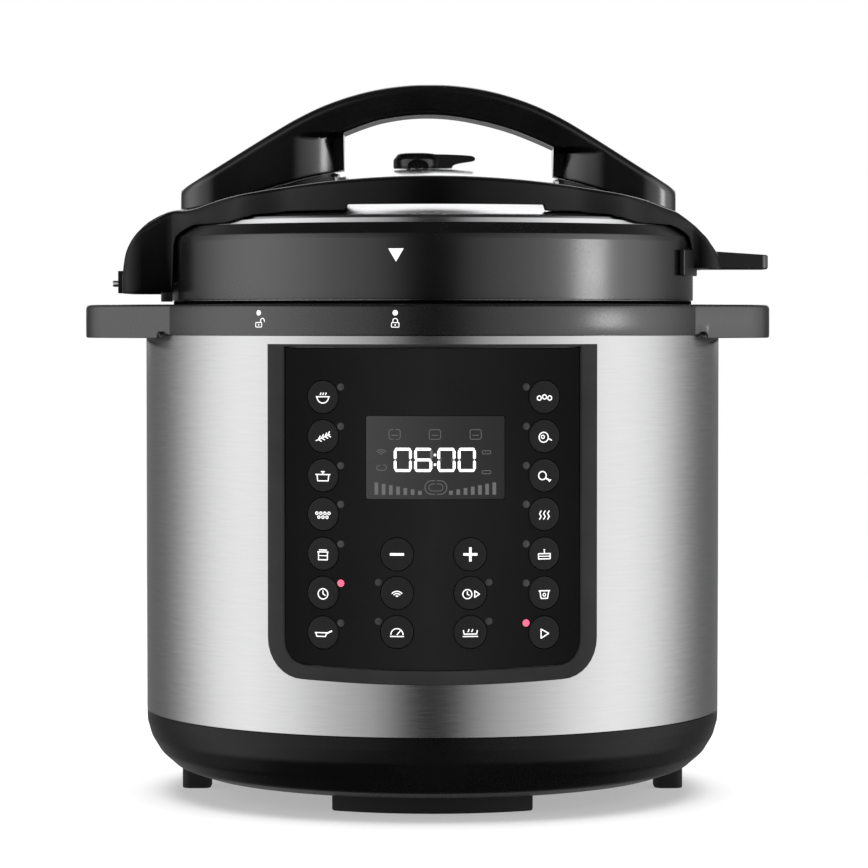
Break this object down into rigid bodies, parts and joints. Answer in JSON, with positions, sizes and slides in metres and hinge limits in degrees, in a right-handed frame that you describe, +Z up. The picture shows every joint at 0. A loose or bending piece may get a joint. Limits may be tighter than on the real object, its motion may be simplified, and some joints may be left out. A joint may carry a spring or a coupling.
{
  "type": "electric pressure cooker",
  "caption": "Free-standing electric pressure cooker: brushed steel body, curved key panel, bayonet lid with arch handle, steam valve, lift-out pot and side handles.",
  "frame": {"origin": "centre of the bounding box's bottom face, on the ground between the feet; the vessel's axis stands at x = 0.00235, y = -0.01125", "axes": "+Z up, -Y towards the control panel, +X to the right as seen from the panel side"},
  "size_m": [0.3352, 0.3116, 0.3476],
  "materials": {
    "black_plastic": "satin injection moulded",
    "gloss_black": "polished black",
    "brushed_steel": "vertical soft sheen, brushed round the vessel",
    "polished_steel": "bright pressed steel",
    "aluminium": "cast and turned",
    "panel_frame": "satin dark grey",
    "panel_gloss": "glossy black film",
    "key_gloss": null,
    "lcd_glass": "smoked display lens",
    "lcd_body": "display module",
    "rubber": "dull",
    "silicone": "translucent white silicone",
    "circuit_board": "coated board",
    "switch_plastic": "plain",
    "cup_plastic": "smoky translucent",
    "spring_steel": "drawn wire"
  },
  "bodies": {
    "base": {"base_housing": "black_plastic", "foot_front": "rubber", "foot_rear": "rubber", "foot_left": "rubber", "foot_right": "rubber", "outer_shell": "brushed_steel", "collar_ring": "black_plastic", "outer_pot": "aluminium", "heating_plate": "aluminium", "power_board": "circuit_board", "pressure_switch": "switch_plastic", "power_inlet": "black_plastic", "cup_bracket": "black_plastic", "panel_frame": "panel_frame", "panel_overlay": "panel_gloss", "lcd_window": "lcd_glass", "lcd_module": "lcd_body", "control_board": "circuit_board", "sensor_spring": "spring_steel"},
    "pot": {"inner_pot": "polished_steel"},
    "sensor": {"temp_sensor": "polished_steel"},
    "cup": {"condensate_cup": "cup_plastic"},
    "lid_seal": {"sealing_ring": "silicone"},
    "lid": {"lid_dome": "polished_steel", "lid_ring": "gloss_black", "inner_lid": "polished_steel", "seal_rack": "polished_steel", "exhaust_pipe": "polished_steel", "anti_block_shield": "polished_steel", "lid_cover": "gloss_black", "lid_handle": "gloss_black", "rest_fin": "gloss_black"},
    "valve": {"steam_release_cap": "gloss_black"},
    "float": {"float_valve": "polished_steel", "float_seal": "silicone"},
    "pin": {"lock_pin": "polished_steel"},
    "key_left_1": {"key_left_1": "key_gloss"},
    "key_left_2": {"key_left_2": "key_gloss"},
    "key_left_3": {"key_left_3": "key_gloss"},
    "key_left_4": {"key_left_4": "key_gloss"},
    "key_left_5": {"key_left_5": "key_gloss"},
    "key_left_6": {"key_left_6": "key_gloss"},
    "key_left_7": {"key_left_7": "key_gloss"},
    "key_right_1": {"key_right_1": "key_gloss"},
    "key_right_2": {"key_right_2": "key_gloss"},
    "key_right_3": {"key_right_3": "key_gloss"},
    "key_right_4": {"key_right_4": "key_gloss"},
    "key_right_5": {"key_right_5": "key_gloss"},
    "key_right_6": {"key_right_6": "key_gloss"},
    "key_right_7": {"key_right_7": "key_gloss"},
    "key_mid_left_1": {"key_mid_left_1": "key_gloss"},
    "key_mid_left_2": {"key_mid_left_2": "key_gloss"},
    "key_mid_left_3": {"key_mid_left_3": "key_gloss"},
    "key_mid_right_1": {"key_mid_right_1": "key_gloss"},
    "key_mid_right_2": {"key_mid_right_2": "key_gloss"},
    "key_mid_right_3": {"key_mid_right_3": "key_gloss"}
  },
  "joints": [
    {"name": "lid_lift", "type": "slide", "parent": "base", "child": "lid_seal", "axis": [0, 0, 1], "range_m": [0, 0.36]},
    {"name": "lid_turn", "type": "hinge", "parent": "lid_seal", "child": "lid", "pos_m": [0.00235, -0.01125, 0.24], "axis": [0, 0, 1], "range_deg": [-28, 0]},
    {"name": "pot_lift", "type": "slide", "parent": "base", "child": "pot", "axis": [0, 0, 1], "range_m": [0, 0.18]},
    {"name": "valve_turn", "type": "hinge", "parent": "lid", "child": "valve", "pos_m": [-0.00535, -0.01125, 0.31], "axis": [0, 0, 1], "range_deg": [0, 45]},
    {"name": "float_rise", "type": "slide", "parent": "lid", "child": "float", "axis": [0, 0, 1], "range_m": [0, 0.003]},
    {"name": "pin_press", "type": "slide", "parent": "lid", "child": "pin", "axis": [1, 0, 0], "range_m": [0, 0.003], "stiffness_N_per_m": 300},
    {"name": "sensor_press", "type": "slide", "parent": "base", "child": "sensor", "axis": [0, 0, -1], "range_m": [0, 0.002], "stiffness_N_per_m": 1500, "springref_m": -0.0005, "deforming": ["sensor_spring"]},
    {"name": "cup_pull", "type": "slide", "parent": "base", "child": "cup", "axis": [0, 1, 0], "range_m": [0, 0.03]},
    {"name": "key_left_1_press", "type": "slide", "parent": "base", "child": "key_left_1", "axis": [0.3481, 0.9375, 0], "range_m": [0, 0.0005], "stiffness_N_per_m": 400},
    {"name": "key_left_2_press", "type": "slide", "parent": "base", "child": "key_left_2", "axis": [0.3481, 0.9375, 0], "range_m": [0, 0.0005], "stiffness_N_per_m": 400},
    {"name": "key_left_3_press", "type": "slide", "parent": "base", "child": "key_left_3", "axis": [0.3481, 0.9375, 0], "range_m": [0, 0.0005], "stiffness_N_per_m": 400},
    {"name": "key_left_4_press", "type": "slide", "parent": "base", "child": "key_left_4", "axis": [0.3481, 0.9375, 0], "range_m": [0, 0.0005], "stiffness_N_per_m": 400},
    {"name": "key_left_5_press", "type": "slide", "parent": "base", "child": "key_left_5", "axis": [0.3481, 0.9375, 0], "range_m": [0, 0.0005], "stiffness_N_per_m": 400},
    {"name": "key_left_6_press", "type": "slide", "parent": "base", "child": "key_left_6", "axis": [0.3481, 0.9375, 0], "range_m": [0, 0.0005], "stiffness_N_per_m": 400},
    {"name": "key_left_7_press", "type": "slide", "parent": "base", "child": "key_left_7", "axis": [0.3481, 0.9375, 0], "range_m": [0, 0.0005], "stiffness_N_per_m": 400},
    {"name": "key_right_1_press", "type": "slide", "parent": "base", "child": "key_right_1", "axis": [-0.3564, 0.9343, 0], "range_m": [0, 0.0005], "stiffness_N_per_m": 400},
    {"name": "key_right_2_press", "type": "slide", "parent": "base", "child": "key_right_2", "axis": [-0.3564, 0.9343, 0], "range_m": [0, 0.0005], "stiffness_N_per_m": 400},
    {"name": "key_right_3_press", "type": "slide", "parent": "base", "child": "key_right_3", "axis": [-0.3564, 0.9343, 0], "range_m": [0, 0.0005], "stiffness_N_per_m": 400},
    {"name": "key_right_4_press", "type": "slide", "parent": "base", "child": "key_right_4", "axis": [-0.3564, 0.9343, 0], "range_m": [0, 0.0005], "stiffness_N_per_m": 400},
    {"name": "key_right_5_press", "type": "slide", "parent": "base", "child": "key_right_5", "axis": [-0.3564, 0.9343, 0], "range_m": [0, 0.0005], "stiffness_N_per_m": 400},
    {"name": "key_right_6_press", "type": "slide", "parent": "base", "child": "key_right_6", "axis": [-0.3564, 0.9343, 0], "range_m": [0, 0.0005], "stiffness_N_per_m": 400},
    {"name": "key_right_7_press", "type": "slide", "parent": "base", "child": "key_right_7", "axis": [-0.3564, 0.9343, 0], "range_m": [0, 0.0005], "stiffness_N_per_m": 400},
    {"name": "key_mid_left_1_press", "type": "slide", "parent": "base", "child": "key_mid_left_1", "axis": [0.1121, 0.9937, 0], "range_m": [0, 0.0005], "stiffness_N_per_m": 400},
    {"name": "key_mid_left_2_press", "type": "slide", "parent": "base", "child": "key_mid_left_2", "axis": [0.1121, 0.9937, 0], "range_m": [0, 0.0005], "stiffness_N_per_m": 400},
    {"name": "key_mid_left_3_press", "type": "slide", "parent": "base", "child": "key_mid_left_3", "axis": [0.1121, 0.9937, 0], "range_m": [0, 0.0005], "stiffness_N_per_m": 400},
    {"name": "key_mid_right_1_press", "type": "slide", "parent": "base", "child": "key_mid_right_1", "axis": [-0.1204, 0.9927, 0], "range_m": [0, 0.0005], "stiffness_N_per_m": 400},
    {"name": "key_mid_right_2_press", "type": "slide", "parent": "base", "child": "key_mid_right_2", "axis": [-0.1204, 0.9927, 0], "range_m": [0, 0.0005], "stiffness_N_per_m": 400},
    {"name": "key_mid_right_3_press", "type": "slide", "parent": "base", "child": "key_mid_right_3", "axis": [-0.1204, 0.9927, 0], "range_m": [0, 0.0005], "stiffness_N_per_m": 400}
  ],
  "couplings": [
    {"joint": "pot_lift", "follows": "lid_lift", "ratio": 0.5}
  ]
}
